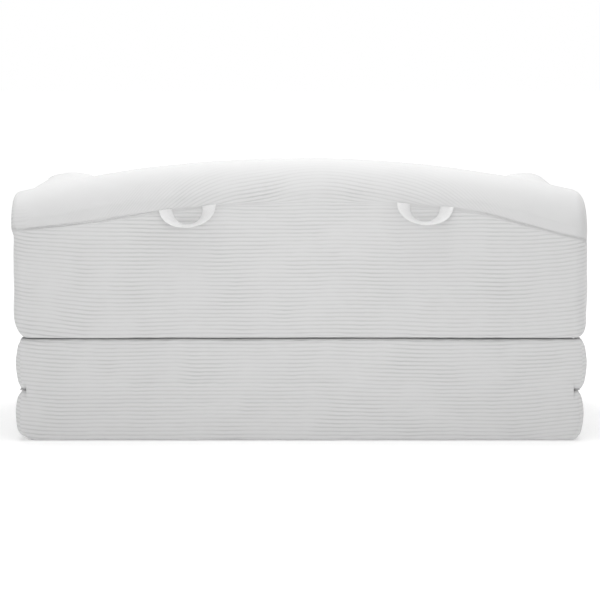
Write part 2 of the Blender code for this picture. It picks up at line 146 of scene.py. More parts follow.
def metres(name, description, default):
    """A setting in metres."""
    return FloatProperty(name=name, description=description, default=default, unit="LENGTH")


def plain(name, description, default):
    """A setting without a unit."""
    return FloatProperty(name=name, description=description, default=default)


def watts(name, description, default):
    """A light's setting in watts."""
    return FloatProperty(name=name, description=description, default=default, unit="POWER")


def opaque(name, description, *parts):
    """A setting that is an opaque colour."""
    return FloatVectorProperty(
        name=name, description=description, subtype="COLOR", size=4, default=(*parts, 1.0)
    )


class SofaCloth(PropertyGroup):
    """Sizes of the ribbed cloth and of how it lies on the foam."""

    rib_pitch: metres("Rib pitch", "Distance from rib to rib", 0.0097)
    rib_height: metres("Rib height", "How far a rib stands up", 0.0009)
    rib_drift: metres("Rib drift", "How far the ribs wander off their straight lines", 0.022)
    seam_depth: metres("Seam depth", "How far a seam draws in", 0.0004)
    pressure: plain("Pressure", "How hard the cushions are blown up", 4.0)
    loose_share: plain("Looseness", "How much longer the cloth is than its cushion", 0.006)
    puff: metres("Puff", "How far the blown cloth may move", 0.006)
    slack: metres("Slack", "Unevenness of the cloth on the foam", 0.0014)
    crown_slope: plain("Crown slope", "Slope of the crown's ribs at its ends", 1.35)
    middle_slope: plain("Middle slope", "Slope of the crown's ribs near its middle", 0.20)
    crown_top: metres("Crown top", "Where along the sofa the crown's ribs are highest", -0.045)
    crown_turn: metres("Crown turn", "How far from the middle the crown's ribs turn down", 0.34)
    set_back: metres(
        "Rear set-back", "How far the lower cushions' ends stay inside the hinge cloth", 0.0012
    )


class SofaShape(PropertyGroup):
    """Sizes of the cushions' outlines."""

    arch_drop: metres("Arch drop", "Fall of the back's crown from the middle to the ends", 0.084)
    arch_power: plain("Arch power", "How late the crown falls off", 2.0)
    seam_drop: metres("Seam drop", "Fall of the rear seam from the middle to the ends", 0.076)
    crown_lift: metres("Crown lift", "How far the crown's cloth stands over its foam's box", 0.0084)
    foot_height: metres(
        "Foot height", "Height of the rounding at the foot of the back's ends", 0.064
    )
    foot_setback: metres(
        "Foot set-back", "How far the foot of the back's left end stands in", 0.042
    )
    end_lean: metres("End lean", "How far the back's left end stands in below the seam", 0.004)
    shoulder: metres("Shoulder", "Depth of the crown's rounding", 0.086)
    side_swell: metres("Side swell", "Bulge of the cushions' sides", 0.004)
    seat_crown: metres("Seat crown", "Rise of the seat's middle", 0.018)


class SofaColours(PropertyGroup):
    """Colours of the finishes."""

    cloth: opaque("Cloth", "Ribbed cover cloth", 0.72, 0.72, 0.72)
    # painted shade: the darker colour painted into the grooves between the ribs
    shaded_groove: opaque("Groove", "Cloth between two ribs", 0.55, 0.55, 0.55)
    tape: opaque("Handle tape", "Woven tape of the handles", 0.885, 0.885, 0.885)
    underside: opaque("Underside", "Felted sheet under each cushion", 0.36, 0.36, 0.37)
    foam: opaque("Foam", "Foam blocks", 0.86, 0.82, 0.66)
    floor: opaque("Floor", "Studio floor", 0.80, 0.80, 0.80)


class SofaStudio(PropertyGroup):
    """The camera's and lights' settings."""

    distance: metres("Camera distance", "From the sofa's middle to the camera", 6.0)
    height: metres("Camera height", "Above the floor", 1.0)
    lens: plain("Lens", "Focal length in millimetres", 141.8)
    sky: plain("Sky", "Strength of the even light", 0.36)
    flanks: plain("Flanks", "How much brighter the sky is at both ends", 0.46)
    glow: FloatVectorProperty(
        name="Floor glow",
        description="Light that the floor itself gives, near the sofa and far from it",
        size=2,
        default=(0.225, 0.62),
    )
    lift: plain("Floor lift", "How much whiter the camera sees the floor", 0.08)
    key: watts("Key light", "Overhead panel", 80.0)
    side: watts("Near lights", "Each near panel", 3.3)


def settings():
    """The scene's own settings of this add-on."""
    return bpy.context.scene


# Materials


class Tree:
    """A node tree that is built up node by node."""

    def __init__(self, tree):
        self.tree = tree

    def link(self, value, socket):
        """Set an input to a number, or link it to another node's output."""
        if isinstance(value, bpy.types.NodeSocket):
            self.tree.links.new(value, socket)
        else:
            socket.default_value = value

    def node(self, kind, **sockets):
        """A node with its inputs set; an input is named, or numbered as i0, i1 and so on."""
        made = self.tree.nodes.new("ShaderNode" + kind)
        for name, value in sockets.items():
            self.link(value, made.inputs[int(name[1:]) if name[1:].isdigit() else name])
        return made

    def maths(self, operation, first, second=0.0, third=0.0):
        """The result of one sum."""
        made = self.node("Math", i0=first, i1=second, i2=third)
        made.operation = operation
        return made.outputs[0]

    def times(self, value, factor):
        """A value times a factor."""
        return self.maths("MULTIPLY", value, factor)

    def times_plus(self, value, factor, more):
        """A value times a factor, and some more."""
        return self.maths("MULTIPLY_ADD", value, factor, more)

    def split(self, vector):
        """The three parts of a vector."""
        return self.node("SeparateXYZ", Vector=vector).outputs

    def ramp(self, value, start, stop, first, last):
        """A number that goes from first to last as a value goes from start to stop."""
        made = self.node("MapRange", Value=value)
        ends = {"From Min": start, "From Max": stop, "To Min": first, "To Max": last}
        for name, end in ends.items():
            made.inputs[name].default_value = end
        return made.outputs[0]


class Finish(Tree):
    """A node material that is built up from its shader backwards."""

    def __init__(self, name, colour, roughness, sheen=0.0, metallic=0.0):
        self.material = bpy.data.materials.new(name)
        self.material.use_nodes = True
        super().__init__(self.material.node_tree)
        self.shader = self.tree.nodes["Principled BSDF"]
        self.shader.inputs["Base Color"].default_value = colour
        self.shader.inputs["Roughness"].default_value = roughness
        self.shader.inputs["Metallic"].default_value = metallic
        self.shader.inputs["Sheen Weight"].default_value = sheen
        self.shader.inputs["Sheen Roughness"].default_value = 0.5
        self.material.diffuse_color = colour

    def place(self):
        """Object coordinates."""
        return self.node("TexCoord").outputs["Object"]

    def weave(self):
        """The piece's own map: metres along the ribs and across them."""
        made = self.node("UVMap")
        made.uv_map = "weave"
        return made.outputs[0]

    def stripes(self, value, pitch):
        """Waves with that pitch in metres."""
        return self.maths("SINE", self.times(value, 2 * pi / pitch))

    def facing_up(self):
        """How far the cloth faces up."""
        return self.split(self.node("TexCoord").outputs["Normal"])[2]

    def off_middle(self):
        """Distance from the sofa's middle along it, or less where the cloth faces an end."""
        wide = self.maths("ABSOLUTE", self.split(self.place())[0])
        end = self.maths("ABSOLUTE", self.split(self.node("TexCoord").outputs["Normal"])[0])
        return self.times(wide, self.maths("SUBTRACT", 1.0, end))

    def noise(self, vector, scale, detail=2.0):
        """Values of a noise pattern."""
        made = self.node("TexNoise", Vector=vector, Scale=scale, Detail=detail)
        return made.outputs[0]

    def mix(self, share, first, second):
        """A colour between two."""
        made = self.node("Mix")
        made.data_type = "RGBA"
        for place, value in ((0, share), (6, first), (7, second)):
            self.link(value, made.inputs[place])
        return made.outputs[2]

    def colour(self, socket):
        """Send a colour to the shader."""
        self.tree.links.new(socket, self.shader.inputs["Base Color"])

    def roughness(self, socket):
        """Send a roughness to the shader."""
        self.tree.links.new(socket, self.shader.inputs["Roughness"])

    def bump(self, height, distance, strength=1.0):
        """Send a height to the shader as bump."""
        made = self.node("Bump", Height=height, Distance=distance, Strength=strength)
        self.tree.links.new(made.outputs[0], self.shader.inputs["Normal"])


def scaled(colour, share):
    """A lighter or darker colour."""
    return tuple(min(1.0, part * share) for part in colour[:3]) + (1.0,)


def ribbed_cloth(name="ribbed_cloth", stretched=False, crown=False):
    """The covers' cloth: soft wide ribs with narrow grooves and a fine knit; the grooves are
    darkened with painted shade.

    Where the cloth faces up, its ribs are flatter and the painted groove shade is paler, to stand
    for tops washed out by light from above, and on the crown at both ends too.
    """
    colours, cloth = settings().sofa_colours, settings().sofa_cloth
    finish = Finish(name, colours.cloth, roughness=0.92, sheen=0.25)
    weave = finish.weave()
    along, across = finish.split(weave)[:2]
    drift = finish.noise(weave, DRIFT_SCALE, detail=1.0)
    wander = finish.noise(weave, PATCH_SCALE, detail=3.0)
    shifted = finish.times_plus(drift, cloth.rib_drift, across)
    shifted = finish.times_plus(wander, cloth.rib_pitch * 0.9, shifted)
    turns = finish.times(shifted, 2 * pi / cloth.rib_pitch)
    ridge = finish.times_plus(finish.maths("COSINE", turns), 0.5, 0.5)
    # mask of the grooves, used both for their painted shade and for their bump
    shaded_groove = finish.maths("POWER", ridge, 3.0)
    patches = finish.noise(weave, PATCH_SCALE)
    depth = finish.times_plus(patches, 1.6, -0.25)
    depth = finish.maths("MINIMUM", finish.maths("MAXIMUM", depth, 0.15), 1.0)
    # painted light: on faces turned up the painted groove shade and the ribs' bump fade, as tops
    # look washed out by light from above
    if stretched:
        flat = finish.ramp(finish.facing_up(), 0.30, 0.75, 1.0, 0.15)
        depth = finish.times(depth, flat)
    if crown:
        faint = finish.ramp(finish.off_middle(), 0.16, 0.40, 1.0, 0.35)
        depth = finish.times(depth, faint)
    shaded_groove = finish.times(shaded_groove, depth)
    fibres = finish.noise(weave, FIBRE_SCALE)
    knit = finish.stripes(along, KNIT_PITCH)
    cloud = finish.noise(finish.place(), 3.0)
    tint = finish.times_plus(cloud, 0.10, -0.05)
    shade = finish.maths("ADD", shaded_groove, tint)
    shade = finish.times_plus(fibres, 0.06, shade)
    # painted shade in the grooves, plus a random tone and the fibres
    finish.colour(finish.mix(shade, colours.cloth, colours.shaded_groove))
    finish.roughness(finish.times_plus(fibres, 0.08, 0.86))
    height = finish.times(shaded_groove, -1.0)
    height = finish.times_plus(fibres, 0.16, height)
    height = finish.times_plus(knit, 0.03, height)
    finish.bump(height, distance=cloth.rib_height, strength=0.7)
    return finish.material


def handle_tape():
    """Woven tape: a herringbone of fine yarns between two firmer edges."""
    colour = settings().sofa_colours.tape
    finish = Finish("handle_tape", colour, roughness=0.8, sheen=0.15)
    weave = finish.weave()
    along, across = finish.split(weave)[:2]
    rows = finish.maths("PINGPONG", across, TAPE_ROW)
    slant = finish.maths("ADD", along, rows)
    yarn = finish.stripes(slant, YARN_PITCH)
    rib = finish.stripes(across, TAPE_RIB)
    height = finish.times_plus(rib, 0.5, yarn)
    fibres = finish.noise(weave, YARN_SCALE)
    height = finish.times_plus(fibres, 0.8, height)
    shade = finish.times_plus(height, 0.12, 0.14)
    finish.colour(finish.mix(shade, colour, scaled(colour, 0.7)))
    finish.bump(height, distance=0.0003, strength=0.6)
    return finish.material


def felted_sheet():
    """The undersides: pressed felt with rows of bonded dots."""
    colour = settings().sofa_colours.underside
    finish = Finish("felted_sheet", colour, roughness=0.88, sheen=0.1)
    place = finish.place()
    dots = finish.node("TexVoronoi", Vector=place, Scale=DOT_SCALE, Randomness=0.15)
    pressed = finish.maths("LESS_THAN", dots.outputs[0], 0.26)
    fibres = finish.noise(place, FELT_SCALE, detail=4.0)
    shade = finish.times_plus(pressed, -0.3, fibres)
    finish.colour(finish.mix(shade, colour, scaled(colour, 1.5)))
    height = finish.times_plus(pressed, -0.6, fibres)
    finish.bump(height, distance=0.0004, strength=0.6)
    return finish.material


def open_foam():
    """The foam blocks: fine open cells."""
    colour = settings().sofa_colours.foam
    finish = Finish("open_foam", colour, roughness=0.95)
    place = finish.place()
    cells = finish.node("TexVoronoi", Vector=place, Scale=CELL_SCALE)
    yellowing = finish.noise(place, 4.0)
    shade = finish.times_plus(yellowing, 0.4, cells.outputs[0])
    finish.colour(finish.mix(shade, colour, scaled(colour, 0.82)))
    finish.bump(cells.outputs[0], distance=0.0006, strength=0.7)
    return finish.material


def zip_plastic():
    """The zips: satin nylon with the cross lines of the coil."""
    finish = Finish("zip_nylon", ZIP_LIGHT, roughness=0.55)
    place = finish.place()
    coil = finish.stripes(finish.split(place)[1], COIL_PITCH)
    fibres = finish.noise(place, FIBRE_SCALE)
    height = finish.times_plus(fibres, 0.5, coil)
    shade = finish.times_plus(height, -0.1, 0.15)
    finish.colour(finish.mix(shade, ZIP_LIGHT, ZIP_DARK))
    finish.roughness(finish.times_plus(fibres, 0.15, 0.48))
    finish.bump(height, distance=0.0002, strength=0.7)
    return finish.material


def brushed_metal():
    """Sliders and pullers: plated metal with fine scratches and patches of wear."""
    finish = Finish("brushed_metal", METAL, roughness=0.3, metallic=1.0)
    place = finish.place()
    stretched = finish.node("Mapping", Vector=place, Scale=(1.0, 14.0, 1.0)).outputs[0]
    scratches = finish.noise(stretched, SCRATCH_SCALE, detail=3.0)
    wear = finish.noise(place, WEAR_SCALE, detail=3.0)
    finish.roughness(finish.times_plus(wear, 0.25, 0.18))
    finish.colour(finish.mix(wear, METAL_BRIGHT, METAL_WORN))
    finish.bump(scratches, distance=0.00008, strength=0.5)
    return finish.material


FINISHES = {
    "cloth": ribbed_cloth,
    # these two fade the painted groove shade on faces turned up, as tops washed out by light from
    # above
    "arm_cloth": lambda: ribbed_cloth("arm_cloth", stretched=True),
    "crown_cloth": lambda: ribbed_cloth("crown_cloth", stretched=True, crown=True),
    "tape": handle_tape,
    "felt": felted_sheet,
    "foam": open_foam,
    "zip": zip_plastic,
    "metal": brushed_metal,
}
_made_finishes = {}


def finish_of(kind):
    """The material of a kind, made once."""
    if kind not in _made_finishes:
        _made_finishes[kind] = FINISHES[kind]()
    return _made_finishes[kind]


# Mesh helpers


def deselect():
    """Leave edit mode with nothing selected."""
    if bpy.context.object and bpy.context.object.mode != "OBJECT":
        bpy.ops.object.mode_set(mode="OBJECT")
    bpy.ops.object.select_all(action="DESELECT")


def select_only(piece):
    """Make a piece the only selected one."""
    deselect()
    bpy.context.view_layer.objects.active = piece
    piece.select_set(True)


def apply_all(piece):
    """Apply every modifier of a piece."""
    select_only(piece)
    for modifier in list(piece.modifiers):
        bpy.ops.object.modifier_apply(modifier=modifier.name)


def dress(piece, finish):
    """Give a piece its only material and smooth shading."""
    piece.data.materials.clear()
    piece.data.materials.append(finish_of(finish))
    select_only(piece)
    bpy.ops.object.shade_smooth_by_angle(angle=radians(50))


def cover(piece, finish, body, node):
    """Finish a padded piece that stands for a packed one."""
    dress(piece, finish)
    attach(piece, body)
    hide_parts(node)


def pad(piece, low, high, flat, seed, sheet, zip_tape=None):
    """Settle a cushion in its room, soften it, and press it in over its sheet and its zip."""
    settle(piece, low, high, flat)
    soften(piece, seed)
    recess(piece, sheet)
    if zip_tape:
        band(piece, zip_tape)


def new_grid(name, cells, spot_at, weave_at):
    """A sheet made from a grid: two rules give each point its place and its map.

    Both get the point's numbers from -1 to 1 each way, and the map's rule its place too.
    """
    deselect()
    bpy.ops.mesh.primitive_grid_add(x_subdivisions=cells[0], y_subdivisions=cells[1], size=2.0)
    piece = bpy.context.object
    piece.name = name
    layer = piece.data.uv_layers.active
    layer.name = "weave"
    flat = [vertex.co.copy() for vertex in piece.data.vertices]
    for vertex in piece.data.vertices:
        vertex.co = spot_at(*flat[vertex.index].xy)
    for loop in piece.data.loops:
        corner = loop.vertex_index
        place = piece.data.vertices[corner].co
        layer.data[loop.index].uv = weave_at(*flat[corner].xy, place)
    piece.data.update()
    return piece


def thicken(piece, thickness, offset):
    """Give a sheet its thickness, not yet applied."""
    wall = piece.modifiers.new("cloth", "SOLIDIFY")
    wall.thickness = thickness
    wall.offset = offset


def subdivide_along(piece, counts):
    """Cut a cube into a grid of that many cells in X, Y and Z."""
    passes = []
    for axis, count in enumerate(counts):
        halves = 2 if count > MOST_CUTS and count % 2 == 0 else 1
        passes += [(axis, 2)] if halves == 2 else []
        passes.append((axis, count // halves))
    for axis, count in passes:
        bpy.ops.object.mode_set(mode="EDIT")
        bpy.ops.mesh.select_mode(type="EDGE")
        bpy.ops.mesh.select_all(action="DESELECT")
        mesh = bmesh.from_edit_mesh(piece.data)
        for edge in mesh.edges:
            run = edge.verts[0].co - edge.verts[1].co
            edge.select = abs(run[axis]) > max(abs(run[(axis + 1) % 3]), abs(run[(axis + 2) % 3]))
        bmesh.update_edit_mesh(piece.data)
        if count > 1:
            bpy.ops.mesh.subdivide(number_cuts=count - 1)
        bpy.ops.object.mode_set(mode="OBJECT")


def eased(start, stop, count):
    """Places from start up to stop, closer together at both ends."""
    places = []
    for step in range(count):
        share = step / count
        share += EASE * (0.5 - 0.5 * cos(pi * share) - share)
        places.append(start + (stop - start) * share)
    return places


def stations(marks, counts):
    """Places through all marks, with that many cells in each interval."""
    places = []
    for start, stop, count in zip(marks, marks[1:], counts):
        places += eased(start, stop, count)
    return places + [marks[-1]]


def curve(reach, inset, steps):
    """How far in and how much drawn in each step of a rounded end is."""
    turns = [QUARTER * step / steps for step in range(steps)]
    return [(reach * (1 - cos(turn)), inset * (1 - sin(turn))) for turn in turns]


class Section:
    """A soft outline across a cushion: corner radii each way and the bulge of each side.

    The radii and the bulges go round as in the cushions' own order: corners from the low
    end of the second direction at the first's high end, sides from the underside.
    """

    def __init__(self, low, high, radii, swells=(0.0, 0.0, 0.0, 0.0)):
        self.low = low
        self.high = high
        self.radii = radii
        self.swells = swells

    def point(self, across, up, inset):
        """Where a place of the square from -1 to 1 lies on the outline or inside it."""
        under, far, over, near = self.swells
        low = (self.low[0] + near + inset, self.low[1] + under + inset)
        high = (self.high[0] - far - inset, self.high[1] - over - inset)
        middle = ((low[0] + high[0]) / 2, (low[1] + high[1]) / 2)
        rim = max(abs(across), abs(up), TINY)
        ways = (across / rim, up / rim)
        spot = [low[d] + (high[d] - low[d]) * (ways[d] + 1) / 2 for d in (0, 1)]
        corner = (1 if ways[1] > 0 else 0) if ways[0] > 0 else (2 if ways[1] > 0 else 3)
        reach = [max(r - inset, min(r, SHARP)) for r in self.radii[corner]]
        past = []
        for d in (0, 1):
            edge = high[d] - reach[d] if ways[d] > 0 else low[d] + reach[d]
            past.append(spot[d] - edge)
        outside = (past[0] * ways[0] > 0, past[1] * ways[1] > 0)
        if all(outside):
            length = hypot(past[0] / reach[0], past[1] / reach[1])
            for d in (0, 1):
                spot[d] += past[d] / length - past[d]
        bulges = ((far, near), (over, under))
        for d in (0, 1):
            bulge = bulges[d][0] if ways[d] > 0 else bulges[d][1]
            if abs(ways[d]) > 1 - TINY:
                spot[d] += (1 if ways[d] > 0 else -1) * bulge * (1 - ways[1 - d] ** 2)
        return [middle[d] + (spot[d] - middle[d]) * rim for d in (0, 1)]


class Cushion:
    """A closed cushion drawn on a grid: sections along one axis between two domed ends."""

    def __init__(self, name, axis, ends, rounding, dome, section_at, across, up):
        self.name = name
        self.axis = axis
        self.section_at = section_at
        self.dome = dome
        self.across = across
        self.up = up
        near, far = (curve(*size, END_STEPS) for size in rounding)
        low, high = ends[0] + dome[0], ends[1] - dome[1]
        start, stop = low + rounding[0][0], high - rounding[1][0]
        cells = 2 * round((stop - start) / CELL)
        self.run = [(low + place, inset) for place, inset in near]
        self.run += [(place, 0.0) for place in stations([start, stop], [cells])]
        self.run += [(high - place, inset) for place, inset in reversed(far)]
        counts = (len(self.run), len(across), len(up))
        self.counts = counts if axis == "X" else (counts[1], counts[0], counts[2])
        self.piece = self.build()

    def grid_index(self, corner):
        """Cell numbers of a grid point as along, across, up."""
        numbers = [round((corner[d] + 1) / 2 * (self.counts[d] - 1)) for d in range(3)]
        return numbers if self.axis == "X" else [numbers[1], numbers[0], numbers[2]]

    def build(self):
        """The cushion's mesh, its grid numbers kept for the seams and the map."""
        deselect()
        bpy.ops.mesh.primitive_cube_add(size=2.0)
        piece = bpy.context.object
        piece.name = self.name
        piece.data.name = self.name
        subdivide_along(piece, [count - 1 for count in self.counts])
        last = len(self.run) - 1
        self.index = []
        for vertex in piece.data.vertices:
            here = self.grid_index(vertex.co)
            self.index.append(here)
            place, inset = self.run[here[0]]
            across, up = self.across[here[1]], self.up[here[2]]
            if here[0] in (0, last):
                rim = max(abs(across), abs(up))
                end = 0 if here[0] == 0 else 1
                place += (2 * end - 1) * self.dome[end] * (1 - rim**2)
            spot = self.section_at(place).point(across, up, inset)
            if self.axis == "X":
                vertex.co = (place, spot[0], spot[1])
            else:
                vertex.co = (spot[0], place, spot[1])
        piece.data.update()
        return piece

    def side_of(self, polygon):
        """The side of the grid that a face is on: along, across or up, and low or high."""
        lasts = (len(self.run) - 1, len(self.across) - 1, len(self.up) - 1)
        rows = [self.index[v] for v in polygon.vertices]
        for d in range(3):
            for end, number in (("low", 0), ("high", lasts[d])):
                if all(row[d] == number for row in rows):
                    return ("along", "across", "up")[d] + "_" + end
        return "inside"

    def map_weave(self, weave_at):
        """Lay the cloth's map: weave_at gives metres along and across the ribs.

        A rounded edge that belongs to the underside or the top by its grid, but stands
        upright, is mapped as the end or the side that it faces.
        """
        layer = self.piece.data.uv_layers.new(name="weave")
        self.piece.data.uv_layers.active = layer
        for extra in [item for item in self.piece.data.uv_layers if item.name != "weave"]:
            self.piece.data.uv_layers.remove(extra)
        layer = self.piece.data.uv_layers["weave"]
        for polygon in self.piece.data.polygons:
            side = self.side_of(polygon)
            facing = polygon.normal
            rims = ("up_low",) if self.axis == "X" else ("up_low", "up_high")
            if abs(facing.z) < UPRIGHT and side in rims:
                ended = abs(facing.x) > abs(facing.y)
                side = "along_high" if ended == (self.axis == "X") else "across_high"
            for loop in polygon.loop_indices:
                vertex = self.piece.data.loops[loop].vertex_index
                here = self.index[vertex]
                layer.data[loop].uv = weave_at(side, self.piece.data.vertices[vertex].co, here)

    def mark_seams(self, on_seam):
        """Keep where the seams run, as a number at each point."""
        seam = self.piece.data.attributes.new("seam", "FLOAT", "POINT")
        values = [1.0 if on_seam(here) else 0.0 for here in self.index]
        seam.data.foreach_set("value", values)


def settle(piece, low, high, flat):
    """Blow a cushion's cloth up from inside and keep it inside its room.

    It is held at its seams and on the faces at the flat levels, which rest on other pieces.
    """
    cloth, scene = settings().sofa_cloth, bpy.context.scene
    mesh = piece.data
    seam = mesh.attributes.get("seam")
    held = piece.vertex_groups.new(name="held")
    resting = {
        vertex.index
        for vertex in mesh.vertices
        if any(abs(vertex.co.z - level) < HAIR for level in flat)
    }
    sewn = {point for point, mark in enumerate(seam.data) if mark.value > 0} if seam else set()
    inward = {point: mesh.vertices[point].normal * cloth.seam_depth for point in sewn}
    for point, step in inward.items():
        mesh.vertices[point].co -= step
    held.add(list(resting | sewn), 1.0, "REPLACE")
    blown = piece.modifiers.new("blown", "CLOTH")
    blown.settings.quality = CLOTH_QUALITY
    blown.settings.use_pressure = True
    blown.settings.uniform_pressure_force = cloth.pressure
    blown.settings.shrink_min = -cloth.loose_share
    blown.settings.vertex_group_mass = held.name
    blown.settings.effector_weights.gravity = 0.0
    blown.collision_settings.use_collision = False
    blown.point_cache.frame_start, blown.point_cache.frame_end = 1, CLOTH_FRAMES
    for frame_number in range(1, CLOTH_FRAMES + 1):
        scene.frame_set(frame_number)
    shaped = piece.evaluated_get(bpy.context.evaluated_depsgraph_get()).to_mesh()
    places = [vertex.co.copy() for vertex in shaped.vertices]
    piece.modifiers.remove(blown)
    piece.vertex_groups.remove(held)
    scene.frame_set(1)
    for vertex, place in zip(mesh.vertices, places):
        move = place - vertex.co
        if move.length > cloth.puff:
            move *= cloth.puff / move.length
        place = vertex.co + move
        for axis in range(3):
            place[axis] = min(max(place[axis], low[axis]), high[axis])
        vertex.co = place
    mesh.update()


def soften(piece, seed):
    """Subdivide a cushion, draw its seams in and make the cloth lie a little unevenly."""
    cloth = settings().sofa_cloth
    modifier = piece.modifiers.new("smooth", "SUBSURF")
    modifier.levels = modifier.render_levels = 1
    apply_all(piece)
    mesh = piece.data
    seam = mesh.attributes.get("seam")
    drawn = [0.0] * len(mesh.vertices)
    if seam:
        seam.data.foreach_get("value", drawn)
    normals = [vertex.normal.copy() for vertex in mesh.vertices]
    shift = Vector([seed * step for step in SEED_STEPS])
    for vertex, normal, draw in zip(mesh.vertices, normals, drawn):
        wide = noise.noise(vertex.co * WIDE_WAVES + shift)
        fine = noise.noise(vertex.co * FINE_WAVES + shift)
        uneven = cloth.slack * (WIDE_WEIGHT * wide + FINE_WEIGHT * fine - WAVE_SINK)
        vertex.co += normal * (uneven - 0.5 * cloth.seam_depth * draw**2)
    mesh.update()


def extent(piece):
    """Lowest and highest corner of a piece's points."""
    places = [vertex.co for vertex in piece.data.vertices]
    low = Vector([min(place[axis] for place in places) for axis in range(3)])
    high = Vector([max(place[axis] for place in places) for axis in range(3)])
    return low, high


def recess(piece, node):
    """Press a cushion's face in where its underside sheet lies."""
    low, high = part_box(node)
    for vertex in piece.data.vertices:
        place = vertex.co
        inside = low.x - BRIM < place.x < high.x + BRIM and low.y - BRIM < place.y < high.y + BRIM
        if inside and low.z - BRIM < place.z < high.z + BRIM:
            place.z = low.z - 2 * HAIR if node == "middle_underside" else high.z + 2 * HAIR


def band(piece, node):
    """Open a cushion's end wall over its zip: the cloth dips behind the tape between two lips."""
    low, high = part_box(node)
    level = (low.z + high.z) / 2
    for vertex in piece.data.vertices:
        place = vertex.co
        past = max(low.y - place.y, place.y - high.y, abs(place.z - level) - ZIP_HALF, 0.0)
        if past < LIP and place.x < low.x + 2 * LIP:
            share = smooth_share(past / LIP)
            lip = min(place.x, low.x)
            place.x = (high.x - HAIR) * (1 - share) + lip * share


def smooth_share(share):
    """A share from 0 to 1 that starts and stops softly."""
    share = min(max(share, 0.0), 1.0)
    return share * share * (3 - 2 * share)


def rib_level(place, rise):
    """Height of a point as the ribs see it, on an upright panel whose ribs rise at the ends."""
    share = max(0.0, abs(place.x) / HALF_WIDTH - RIB_TURN) / (1 - RIB_TURN)
    return place.z - rise * share * share


def lower_weave(side, place, here):
    """The map of the base and the middle cushion."""
    if side.startswith("up"):
        return place.x, place.y
    if side.startswith("across"):
        return place.y, rib_level(place, LOWER_RISE)
    return place.x, rib_level(place, LOWER_RISE)


def lip_rows(level, half, reach):
    """Shares of a cushion's height at which grid lines run beside its zip."""
    return [level + share / half for share in (-reach, -ZIP_INNER, ZIP_INNER, reach)]


def lower_cushion(name, low, high, radii):
    """A slab with softly swollen ends."""
    shape, cloth = settings().sofa_shape, settings().sofa_cloth
    swells = (0.0, shape.side_swell, 0.0, shape.side_swell)
    section = Section((low.x, low.z), (high.x, high.z), radii, swells)
    lips = lip_rows(0.0, (high.z - low.z) / 2, LIP)
    up = stations([-1.0, *lips, 1.0], [6, 1, 1, 1, 6])
    across = stations([-1.0, 1.0], [104])
    cushion = Cushion(
        name,
        "Y",
        ends=(low.y + cloth.set_back, high.y - cloth.set_back),
        rounding=[(0.009, 0.009)] * 2,
        dome=(0.0012, 0.0012),
        section_at=lambda place: section,
        across=across,
        up=up,
    )
    cushion.map_weave(lower_weave)
    last_up, last_across, last_along = len(up) - 1, len(across) - 1, len(cushion.run) - 1
    cushion.mark_seams(
        lambda here: here[2] in (0, last_up)
        and (here[0] in (0, last_along) or here[1] in (0, last_across))
    )
    return cushion


class SOFA_OT_lower_cushions(Operator):
    """Dress the base and the middle cushion"""

    bl_idname = "sofa.lower_cushions"
    bl_label = "Base and middle cushions"

    # Corner radii along the sofa and up, at the sitter's left and right end
    LEFT_FOOT, RIGHT_FOOT = (0.060, 0.026), (0.022, 0.034)
    LEFT_NECK, RIGHT_NECK, MIDDLE_NECK = (0.018, 0.030), (0.012, 0.028), (0.010, 0.032)
    # How far one end of each stays inside its box, and the room to swell at both ends
    BASE_SHORT, MIDDLE_SHORT = Vector((0.002, 0.0, 0.0)), Vector((0.006, 0.0, 0.0))
    ROOM = Vector((0.003, 0.0, 0.0))

    def execute(self, context):
        base = lower_cushion(
            "base_cushion",
            BASE_LOW + self.BASE_SHORT,
            BASE_HIGH,
            (self.LEFT_FOOT, self.LEFT_NECK, self.RIGHT_NECK, self.RIGHT_FOOT),
        )
        middle = lower_cushion(
            "middle_cushion", MIDDLE_LOW, MIDDLE_HIGH - self.MIDDLE_SHORT, [self.MIDDLE_NECK] * 4
        )
        for cushion, body, seed in ((base, "base", 1), (middle, "middle", 2)):
            low, high = extent(cushion.piece)
            room = (low - self.ROOM, high + self.ROOM)
            nodes = (body + "_underside", body + "_zip_tape")
            pad(cushion.piece, *room, (low.z, high.z), seed, *nodes)
            cover(cushion.piece, "cloth", body, body + "_cover")
        return {"FINISHED"}


class SOFA_OT_seat(Operator):
    """Dress the seat cushion between the arms"""

    bl_idname = "sofa.seat"
    bl_label = "Seat cushion"

    ROOM_IN_FRONT, ROOM_ABOVE = Vector((0.0, -0.003, 0.0)), Vector((0.0, 0.0, 0.006))

    def execute(self, context):
        shape = settings().sofa_shape
        low, high = SEAT_LOW, SEAT_HIGH
        flat_top = high.z - shape.seat_crown
        half = high.x
        heel, rear, front, toe = (SHARP, SHARP), (0.012, 0.012), (0.034, 0.036), (0.010, 0.010)

        def section_at(place):
            crown = shape.seat_crown * (1 - abs(place / half) ** 4)
            return Section(
                (low.y, low.z),
                (high.y, flat_top + crown),
                radii=(heel, rear, front, toe),
                swells=(0.0, 0.0, crown, 0.003),
            )

        up = stations([-1.0, 1.0], [11])
        across = stations([-1.0, 1.0], [42])
        cushion = Cushion(
            "seat_cushion",
            "X",
            ends=(low.x, high.x),
            rounding=[(0.014, 0.014)] * 2,
            dome=(0.0, 0.0),
            section_at=section_at,
            across=across,
            up=up,
        )

        def weave(side, place, here):
            if side.startswith("along"):
                return place.y, place.z
            if side == "up_high":
                return place.x, place.y
            return place.x, place.z

        cushion.map_weave(weave)
        ends, top_row = (0, len(cushion.run) - 1), len(up) - 1
        cushion.mark_seams(lambda here: here[2] == top_row and here[0] in ends)
        room = (low + self.ROOM_IN_FRONT, high + self.ROOM_ABOVE)
        pad(cushion.piece, *room, (TOP_FLOOR,), seed=3, sheet="top_underside")
        cover(cushion.piece, "cloth", "top", "seat_cover")
        return {"FINISHED"}


